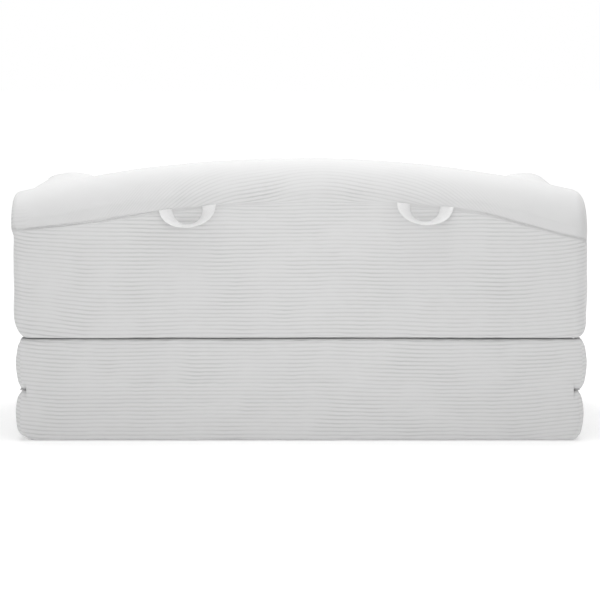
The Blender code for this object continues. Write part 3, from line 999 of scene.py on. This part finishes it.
class SOFA_OT_arms(Operator):
    """Dress the two arms"""

    bl_idname = "sofa.arms"
    bl_label = "Arms"

    SIDE_SWELL, TOP_SWELL = 0.002, 0.008
    ROOM_BESIDE, ROOM_IN_FRONT, ROOM_ABOVE = 0.003, 0.003, 0.005

    def execute(self, context):
        low, high = ARM_LOW, ARM_HIGH
        inner, foot, sharp = (0.050, 0.055), (0.020, 0.040), (SHARP, SHARP)
        for name, side, seed, outer in (
            ("left_arm", 1, 4, (0.034, 0.045)),
            ("right_arm", -1, 5, (0.074, 0.086)),
        ):
            radii = (foot, outer, inner, sharp) if side > 0 else (sharp, inner, outer, foot)
            edges = (low.x, high.x) if side > 0 else (-high.x, -low.x)
            bulges = (self.SIDE_SWELL, 0.0) if side > 0 else (0.0, self.SIDE_SWELL)
            swells = (0.0, bulges[0], self.TOP_SWELL, bulges[1])
            section = Section((edges[0], low.z), (edges[1], high.z), radii, swells)
            half = (high.z - low.z) / 2
            zip_up = (sum(corner.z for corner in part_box("top_zip_tape")) / 2 - low.z) / half - 1
            lips = lip_rows(zip_up, half, ZIP_HALF)
            up = stations([-1.0, *lips, 1.0], [6, 1, 1, 1, 24])
            across = stations([-1.0, 1.0], [14])
            cushion = Cushion(
                name,
                "Y",
                ends=(low.y, high.y),
                rounding=[(0.042, 0.042), (0.006, 0.006)],
                dome=(0.008, 0.0),
                section_at=lambda place: section,
                across=across,
                up=up,
            )

            def weave(where, place, here):
                if where == "up_high":
                    return place.y, place.x
                if where.startswith("along"):
                    return place.x, place.z
                return place.y, place.z

            cushion.map_weave(weave)
            sides, top_row = (0, len(across) - 1), len(up) - 1
            cushion.mark_seams(
                lambda here: here[0] == 0 and (here[1] in sides or here[2] == top_row)
            )
            beside = self.ROOM_BESIDE * side
            low_corner, high_corner = extent(cushion.piece)
            pad(
                cushion.piece,
                low_corner + Vector((min(beside, 0.0), -self.ROOM_IN_FRONT, 0.0)),
                high_corner + Vector((max(beside, 0.0), 0.0, self.ROOM_ABOVE)),
                (TOP_FLOOR,),
                seed,
                sheet="top_underside",
                zip_tape="top_zip_tape" if side < 0 else None,
            )
            cover(cushion.piece, "arm_cloth", "top", name + "_cover")
        return {"FINISHED"}


class Back:
    """Sizes of the back bolster."""

    WRAP = 0.036  # how far the rear panel reaches round the ends
    SEAM_LIFT = 0.002  # how far the cloth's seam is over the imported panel
    PEAK = 0.050  # how far from the middle the seam is highest
    LEVEL_START, LEVEL_RATE = 0.46, 0.42  # where and how the seam levels out at the left end
    DROP_START, DROP_RUN, DROP = 0.38, 0.26, 0.0237  # the right end's extra fall
    END_START, END_RUN = 0.52, 0.14  # where the ends' foot starts to stand in
    RIGHT_FOOT = 0.24  # share of the left foot's set-back that the right one has
    LEAN_RUN = 0.03
    SHOULDER_START, SHOULDER_MORE = 0.3, 0.009  # the crown's rounding is deeper at the ends

    def __init__(self):
        shape = settings().sofa_shape
        self.drop, self.power, self.fall = shape.arch_drop, shape.arch_power, shape.seam_drop
        self.shoulder = shape.shoulder
        self.crest = BACK_HIGH.z + shape.crown_lift
        self.seam_top = PANEL_HIGH.z + self.SEAM_LIFT

    def arch(self, across):
        """Height of the crown."""
        return self.crest - self.drop * (abs(across) / HALF_WIDTH) ** self.power

    def seam(self, across):
        """Height of the seam, which levels out at one end and drops faster at the other."""
        share = (across + self.PEAK) / HALF_WIDTH
        level = self.LEVEL_RATE * max(across - self.LEVEL_START, 0.0) ** 2
        extra = self.DROP * smooth_share((-across - self.DROP_START) / self.DROP_RUN)
        return self.seam_top - self.fall * share * share + level - extra

    def end_setback(self, place):
        """How far an end of the back stands in from its box, so its foot is rounded."""
        shape = settings().sofa_shape
        near = smooth_share((abs(place.x) - self.END_START) / self.END_RUN)
        low = min(max((TOP_FLOOR + shape.foot_height - place.z) / shape.foot_height, 0.0), 1.0)
        foot = 1 - sqrt(1 - low * low)
        if place.x < 0:
            return -near * shape.foot_setback * self.RIGHT_FOOT * foot
        lean = smooth_share((self.seam(HALF_WIDTH) - place.z) / self.LEAN_RUN)
        return near * (shape.foot_setback * foot + shape.end_lean * lean)


class BackSection(Section):
    """A section of the back whose grid line for the seam is on the seam at every place."""

    SEAM_SHARE = 0.45

    def __init__(self, back, across):
        rise = back.arch(across) - back.seam(across)
        far = smooth_share((abs(across) - back.SHOULDER_START) / back.SHOULDER_START)
        shoulder = (back.shoulder + back.SHOULDER_MORE * far, rise)
        super().__init__(
            (BACK_LOW.y, TOP_FLOOR),
            (REAR, back.arch(across)),
            radii=((0.006, 0.009), shoulder, shoulder, (SHARP, SHARP)),
        )
        self.knee = (back.seam(across) - self.low[1]) / (self.high[1] - self.low[1])

    def point(self, across, up, inset):
        """As on any section, with the seam's share of the height set by the knee."""
        rim = max(abs(across), abs(up), TINY)
        way = up / rim
        if way <= self.SEAM_SHARE:
            height = self.knee * (way + 1) / (self.SEAM_SHARE + 1)
        else:
            height = self.knee + (1 - self.knee) * (way - self.SEAM_SHARE) / (1 - self.SEAM_SHARE)
        return super().point(across, (2 * height - 1) * rim, inset)


class SOFA_OT_back(Operator):
    """Dress the back: the crown and the rear panel that is sewn to it"""

    bl_idname = "sofa.back"
    bl_label = "Back"

    SEAM_ROW, WRAP_ROW = 21, 12  # numbers of the grid lines on the seam and the panel's edge
    NEAR_SEAM = 0.02  # share of the height to the next grid line on either side of the seam
    ROOM, ROOM_ABOVE = Vector((0.002, 0.0, 0.0)), Vector((0.0, 0.0, 0.003))
    BOW_POWER = 6  # how suddenly the crown's ribs turn down
    BOW_START = 0.08  # how far from their highest place they reach their middle slope

    def execute(self, context):
        back = Back()
        cushion = self.bolster(back)
        self.map_cloth(cushion, back)
        piece = cushion.piece
        self.mark_panel(cushion)
        low, high = extent(piece)
        settle(piece, low - self.ROOM, high + self.ROOM + self.ROOM_ABOVE, (TOP_FLOOR,))
        cushion.mark_seams(lambda here: here[2] == self.SEAM_ROW and here[1] >= self.WRAP_ROW)
        soften(piece, 6)
        recess(piece, "top_underside")
        panel = self.split(piece)
        for part, node, finish in (
            (piece, "back_cover", "crown_cloth"),
            (panel, "rear_panel", "cloth"),
        ):
            thicken(part, COVER_WALL, offset=-1.0)
            apply_all(part)
            cover(part, finish, "top", node)
        return {"FINISHED"}

    def bolster(self, back):
        """The back's cushion, with a grid line on the seam and one at the panel's edges."""
        share = BackSection.SEAM_SHARE
        near, below = self.NEAR_SEAM, self.SEAM_ROW - 1
        up = stations([-1.0, share - near, share, share + near, 1.0], [below, 1, 1, 18])
        wrap = 1.0 - 2 * back.WRAP / (REAR - BACK_LOW.y)
        across = stations([-1.0, wrap, 1.0], [self.WRAP_ROW, 5])
        cushion = Cushion(
            "back_crown",
            "X",
            ends=(-HALF_WIDTH, HALF_WIDTH),
            rounding=[(0.026, 0.038), (0.012, 0.011)],
            dome=(0.004, 0.004),
            section_at=lambda place: BackSection(back, place),
            across=across,
            up=up,
        )
        for vertex in cushion.piece.data.vertices:
            vertex.co.x -= back.end_setback(vertex.co)
        return cushion

    def crown_runs(self, cushion):
        """How far over the crown each of its grid points lies from the seam."""
        last_across, last_up = len(cushion.across) - 1, len(cushion.up) - 1
        vertices = cushion.piece.data.vertices
        places = {tuple(here): vertices[i].co.copy() for i, here in enumerate(cushion.index)}
        over = {}
        for i in range(len(cushion.run)):
            ring = [(i, last_across, k) for k in range(self.SEAM_ROW, last_up + 1)]
            ring += [(i, j, last_up) for j in range(last_across - 1, -1, -1)]
            ring += [(i, 0, k) for k in range(last_up - 1, self.SEAM_ROW - 1, -1)]
            run = 0.0
            before = places[ring[0]]
            for number in ring:
                run += (places[number] - before).length
                before = places[number]
                over[number] = run
        return over

    def crown_falls(self):
        """How far the crown's ribs have come down at each step from their highest place."""
        cloth = settings().sofa_cloth
        falls = [0.0]
        for step in range(CROWN_STEPS):
            wide = (step + 0.5) / CROWN_STEPS * HALF_WIDTH
            far, turn = wide**self.BOW_POWER, cloth.crown_turn**self.BOW_POWER
            slope = cloth.middle_slope * min(wide / self.BOW_START, 1.0)
            slope += cloth.crown_slope * (far / (far + turn))
            falls.append(falls[-1] + slope * HALF_WIDTH / CROWN_STEPS)
        return falls

    def map_cloth(self, cushion, back):
        """Lay the ribs: level on the panel, and bowed down to both ends on the crown."""
        over, falls = self.crown_runs(cushion), self.crown_falls()
        top = settings().sofa_cloth.crown_top

        def spread(across):
            place = min(abs(across - top) / HALF_WIDTH, 1.0) * CROWN_STEPS
            whole = min(int(place), CROWN_STEPS - 1)
            return falls[whole] + (falls[whole + 1] - falls[whole]) * (place - whole)

        def weave(side, place, here):
            if side.startswith("along"):
                return place.y, rib_level(place, BACK_RISE)
            above = side == "up_high" or (side.startswith("across") and here[2] >= self.SEAM_ROW)
            if above and tuple(here) in over:
                return place.x, back.seam(place.x) + over[tuple(here)] + spread(place.x)
            if side == "up_low":
                return place.x, place.y
            return place.x, rib_level(place, BACK_RISE)

        cushion.map_weave(weave)

    def mark_panel(self, cushion):
        """Mark the faces of the rear panel, below the seam and behind."""
        flags = []
        for polygon in cushion.piece.data.polygons:
            rows = [cushion.index[v] for v in polygon.vertices]
            behind = min(row[1] for row in rows) >= self.WRAP_ROW
            below = max(row[2] for row in rows) <= self.SEAM_ROW
            flags.append(1 if behind and below else 0)
        group = cushion.piece.data.attributes.new("panel", "INT", "FACE")
        group.data.foreach_set("value", flags)

    def split(self, piece):
        """Part the rear panel from the crown along their seam."""
        chosen = [item.value > 0 for item in piece.data.attributes["panel"].data]
        select_only(piece)
        bpy.ops.object.mode_set(mode="EDIT")
        bpy.ops.mesh.select_mode(type="FACE")
        bpy.ops.mesh.select_all(action="DESELECT")
        mesh = bmesh.from_edit_mesh(piece.data)
        mesh.faces.ensure_lookup_table()
        for face, take in zip(mesh.faces, chosen):
            face.select = take
        bmesh.update_edit_mesh(piece.data)
        bpy.ops.mesh.separate(type="SELECTED")
        bpy.ops.object.mode_set(mode="OBJECT")
        panel = next(item for item in bpy.context.selected_objects if item != piece)
        panel.name = "rear_panel_cloth"
        return panel


class SOFA_OT_foam(Operator):
    """Put a foam block inside each cover"""

    bl_idname = "sofa.foam"
    bl_label = "Foam blocks"

    def execute(self, context):
        for node, body in (
            ("base_foam", "base"),
            ("middle_foam", "middle"),
            ("seat_foam", "top"),
            ("left_arm_foam", "top"),
            ("right_arm_foam", "top"),
            ("back_foam", "top"),
        ):
            deselect()
            source = frame["nodes"][node]
            piece = source.copy()
            piece.data = source.data.copy()
            piece.name = node + "_block"
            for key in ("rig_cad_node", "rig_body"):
                if key in piece:
                    del piece[key]
            piece.parent = None
            bpy.context.collection.objects.link(piece)
            select_only(piece)
            bpy.ops.object.mode_set(mode="EDIT")
            bpy.ops.mesh.select_all(action="SELECT")
            bpy.ops.mesh.remove_doubles(threshold=WELD)
            bpy.ops.object.mode_set(mode="OBJECT")
            shrink = piece.modifiers.new("inside the cover", "DISPLACE")
            shrink.strength = -FOAM_INSET
            shrink.mid_level = 0.0
            apply_all(piece)
            cover(piece, "foam", body, node)
        return {"FINISHED"}


class SOFA_OT_handles(Operator):
    """Make the two carrying handles of woven tape"""

    bl_idname = "sofa.handles"
    bl_label = "Carrying handles"

    SPAN, DROP = 0.104, 0.0445  # the loop's middle line, between its feet and down
    WIDTH, THICKNESS = 0.032, 0.0018
    LENGTH = 0.16  # of the tape along its middle
    TWIST = 1.42  # how far the tape is turned edge on at the bottom, in radians
    TWIST_SHARE, TWIST_POWER, TWIST_EARLY = 0.415, 0.9, 0.3  # how soon it is turned
    STAND_OFF = 0.001
    CUP, CUP_SINK = 0.0022, 0.0008  # hollow across the tape
    SELVEDGE = 0.0005  # rounding of its edges

    def ring(self, share):
        """Centre, direction across and facing of the tape at a share of its length."""
        turn = pi * share
        centre = Vector((-self.SPAN / 2 * cos(turn), 0.0, -self.DROP * sin(turn)))
        heading = Vector((self.SPAN / 2 * sin(turn), 0.0, -self.DROP * cos(turn))).normalized()
        outward = Vector((heading.z, 0.0, -heading.x))
        ramp = min(min(share, 1 - share) / self.TWIST_SHARE, 1.0) ** self.TWIST_POWER
        twist = self.TWIST * ramp * (1 + self.TWIST_EARLY * (1 - ramp * ramp))
        across = outward * cos(twist) + Vector((0.0, sin(twist), 0.0))
        centre.y = self.WIDTH / 2 * sin(twist) + self.THICKNESS / 2 * cos(twist)
        centre.y += self.STAND_OFF * sin(turn)
        return centre, across, heading.cross(across)

    def execute(self, context):
        for name in ("left_handle", "right_handle"):
            joint = JOINTS[name + "_swing"]
            axis = Vector(joint["axis"]).normalized()
            up = Vector((-axis.z, 0.0, axis.x))
            turn = Matrix((axis, Vector((0.0, 1.0, 0.0)), up)).transposed()
            foot = Vector(joint["pos_m"])
            foot.y = REAR + HAIR

            def spot_at(run, side):
                centre, across, facing = self.ring((run + 1) / 2)
                fold = self.CUP * side * side - self.CUP_SINK
                spot = centre + across * (self.WIDTH / 2 * side) + facing * fold
                return foot + turn @ spot

            def weave_at(run, side, place):
                return (run + 1) / 2 * self.LENGTH, side * self.WIDTH / 2

            piece = new_grid(name + "_tape", (72, 10), spot_at, weave_at)
            thicken(piece, self.THICKNESS, offset=0.0)
            edge = piece.modifiers.new("selvedge", "BEVEL")
            edge.width = self.SELVEDGE
            edge.segments = 2
            apply_all(piece)
            dress(piece, "tape")
            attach(piece, name)
            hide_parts(name)
        return {"FINISHED"}


def bend_over(piece, flipped, thickness, offset, lower, upper, start, end):
    """Finish a sheet of cloth for a fold: turn it over if asked, thicken it, dress it and fix its
    place.
    """
    if flipped:
        piece.data.flip_normals()
    thicken(piece, thickness, offset)
    apply_all(piece)
    dress(piece, "cloth")
    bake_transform(piece)
    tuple(start)
    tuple(end)


class SOFA_OT_hinge_cloths(Operator):
    """Make the cloths that join the cushions at the two folds"""

    bl_idname = "sofa.hinge_cloths"
    bl_label = "Hinge cloths"

    BELOW, ABOVE = 0.026, 0.018  # how far the cloth reaches from the crease
    SINK, SINK_START = 0.0022, 0.62  # its edges go down into the cushions
    CREASE_IN, CREASE_HALF = 0.0006, 0.004

    def execute(self, context):
        gap = MIDDLE_LOW.z - BASE_HIGH.z
        folds = (
            ("rear_hinge_cloth", "base", "middle", 1, BASE_HIGH.z, 0.662),
            ("front_hinge_cloth", "middle", "top", -1, MIDDLE_HIGH.z, 0.500),
        )
        for name, lower, upper, way, top, half in folds:
            crease = top + gap / 2

            def spot_at(side, up):
                rise = up * (self.ABOVE if up > 0 else self.BELOW)
                sink = self.SINK * max(0.0, abs(up) - self.SINK_START) / (1 - self.SINK_START)
                near = max(0.0, 1 - abs(rise) / self.CREASE_HALF)
                sink += self.CREASE_IN * near * abs(side) ** 3
                return Vector((side * half, way * (REAR - HAIR - sink), crease + rise))

            def weave_at(side, up, place):
                return place.x, rib_level(place, LOWER_RISE)

            piece = new_grid(name, (110, 26), spot_at, weave_at)
            start, end = ((0.0, way * REAR, crease + step) for step in (-gap / 2, gap / 2))
            bend_over(piece, way > 0, 0.0010, -1.0, lower, upper, start, end)
        return {"FINISHED"}


class SOFA_OT_fold_strips(Operator):
    """Make the strips that lie folded inside the two folds"""

    bl_idname = "sofa.fold_strips"
    bl_label = "Fold strips"

    DEEP = 0.036  # how far the strip reaches into the fold
    EDGE = 0.003  # how far its crease stays inside the hinge line
    SPREAD = 0.0004  # half the room between its two layers

    def execute(self, context):
        for node, lower, upper, way in (
            ("rear_fold_strip", "base", "middle", 1),
            ("front_fold_strip", "middle", "top", -1),
        ):
            low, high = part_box(node)
            level = (low.z + high.z) / 2
            reach = way * (REAR - self.EDGE)

            def spot_at(side, run):
                inward = abs(run) * self.DEEP
                spread = self.SPREAD * min(1.0, inward / self.EDGE)
                height = level + (spread if run > 0 else -spread)
                return Vector((side * high.x, reach - way * inward, height))

            def weave_at(side, run, place):
                return side * high.x, run * self.DEEP

            piece = new_grid(node + "_cloth", (60, 24), spot_at, weave_at)
            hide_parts(node)
            start, end = ((0.0, way * REAR, level + step) for step in (-HAIR, HAIR))
            bend_over(piece, way < 0, 0.0004, 0.0, lower, upper, start, end)
        return {"FINISHED"}


class SOFA_OT_trim(Operator):
    """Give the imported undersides, zips and pullers their finishes"""

    bl_idname = "sofa.trim"
    bl_label = "Undersides and zips"

    def execute(self, context):
        for body in ("base", "middle", "top"):
            for part, finish in (
                ("_underside", "felt"),
                ("_zip_tape", "zip"),
                ("_zip_slider", "metal"),
                ("_zip_puller", "metal"),
            ):
                node = frame["nodes"][body + part]
                node.data.materials.clear()
                node.data.materials.append(finish_of(finish))
        return {"FINISHED"}


class SOFA_OT_stage(Operator):
    """Set up the floor, the lights and the camera"""

    bl_idname = "sofa.stage"
    bl_label = "Studio"

    FLOOR_SIZE, FLOOR_LEVEL = 60.0, -0.0004
    NEAR, FAR = 1.2, 5.0  # where the floor's glow starts and ends to grow
    AIM_HEIGHT = 0.344
    SENSOR = 36.0  # width in millimetres

    def execute(self, context):
        studio = settings().sofa_studio
        scene = context.scene
        scene.view_settings.view_transform = "Standard"
        deselect()
        place = (0.0, 0.0, self.FLOOR_LEVEL)
        bpy.ops.mesh.primitive_plane_add(size=self.FLOOR_SIZE, location=place)
        floor = context.object
        floor.name = "studio_floor"
        ground = Finish("studio_floor", settings().sofa_colours.floor, roughness=0.9)
        ground.shader.inputs["Emission Color"].default_value = WHITE
        reach = ground.node("VectorMath", Vector=ground.place())
        reach.operation = "LENGTH"
        glow = ground.ramp(reach.outputs["Value"], self.NEAR, self.FAR, *studio.glow)
        seen = ground.node("LightPath").outputs["Is Camera Ray"]
        lit = ground.times_plus(seen, studio.lift, glow)
        ground.link(lit, ground.shader.inputs["Emission Strength"])
        floor.data.materials.append(ground.material)

        self.sky(scene, studio)
        for name, place, aim, size, power in (
            ("overhead", (0.0, -0.25, 3.0), (0.0, 0.0, 0.3), 3.4, studio.key),
            ("rear_light", (0.0, 1.6, 0.85), (0.0, 0.3, 0.4), 0.7, studio.side),
            ("front_light", (0.0, -1.6, 0.85), (0.0, -0.3, 0.4), 0.7, studio.side),
        ):
            data = bpy.data.lights.new(name, "AREA")
            data.size = size
            data.energy = power
            self.stand(data, place, aim).visible_camera = False

        camera_data = bpy.data.cameras.new("camera")
        camera_data.lens = studio.lens
        camera_data.sensor_width = self.SENSOR
        place = (0.0, studio.distance, studio.height)
        scene.camera = self.stand(camera_data, place, (0.0, REAR, self.AIM_HEIGHT))
        return {"FINISHED"}

    def sky(self, scene, studio):
        """Even light, brighter towards both ends of the sofa; the camera sees plain white."""
        scene.world = bpy.data.worlds.new("studio_light")
        scene.world.use_nodes = True
        sky = Tree(scene.world.node_tree)
        background = sky.tree.nodes["Background"]
        background.inputs["Color"].default_value = WHITE
        end = sky.split(sky.node("TexCoord").outputs["Generated"])[0]
        square = sky.times(end, end)
        brighter = sky.times_plus(square, studio.flanks, studio.sky)
        sky.link(brighter, background.inputs["Strength"])
        backdrop = sky.node("Background", Color=WHITE)
        seen = sky.node("LightPath").outputs["Is Camera Ray"]
        choice = sky.node("MixShader", i0=seen, i1=background.outputs[0], i2=backdrop.outputs[0])
        sky.link(choice.outputs[0], sky.tree.nodes["World Output"].inputs["Surface"])

    def stand(self, data, place, aim):
        """A light or a camera at a place, aimed at another."""
        thing = bpy.data.objects.new(data.name, data)
        bpy.context.scene.collection.objects.link(thing)
        thing.location = place
        thing.rotation_euler = (Vector(aim) - Vector(place)).to_track_quat("-Z", "Y").to_euler()
        return thing


class SOFA_PT_panel(Panel):
    """Lists what dresses the sofa bed"""

    bl_idname = "SOFA_PT_panel"
    bl_label = "Folding sofa bed"
    bl_space_type = "VIEW_3D"
    bl_region_type = "UI"
    bl_category = "Sofa Bed"

    def draw(self, context):
        for operator in OPERATORS:
            self.layout.operator(operator.bl_idname)
        for group in GROUPS:
            box = self.layout.box()
            for name in GROUPS[group].__annotations__:
                box.prop(getattr(context.scene, group), name)


OPERATORS = (
    SOFA_OT_stage,
    SOFA_OT_lower_cushions,
    SOFA_OT_seat,
    SOFA_OT_arms,
    SOFA_OT_back,
    SOFA_OT_foam,
    SOFA_OT_handles,
    SOFA_OT_hinge_cloths,
    SOFA_OT_fold_strips,
    SOFA_OT_trim,
)
GROUPS = {
    "sofa_cloth": SofaCloth,
    "sofa_shape": SofaShape,
    "sofa_colours": SofaColours,
    "sofa_studio": SofaStudio,
}


def register():
    """Add the add-on's classes and settings."""
    for group, kind in GROUPS.items():
        bpy.utils.register_class(kind)
        setattr(bpy.types.Scene, group, PointerProperty(type=kind))
    for kind in (*OPERATORS, SOFA_PT_panel):
        bpy.utils.register_class(kind)


def unregister():
    """Take them away again."""
    for kind in (SOFA_PT_panel, *reversed(OPERATORS)):
        bpy.utils.unregister_class(kind)
    for group, kind in GROUPS.items():
        delattr(bpy.types.Scene, group)
        bpy.utils.unregister_class(kind)


def main():
    """Dress the whole sofa bed."""
    register()
    for operator in OPERATORS:
        family, name = operator.bl_idname.split(".")
        getattr(getattr(bpy.ops, family), name)()


if __name__ == "__main__":
    main()
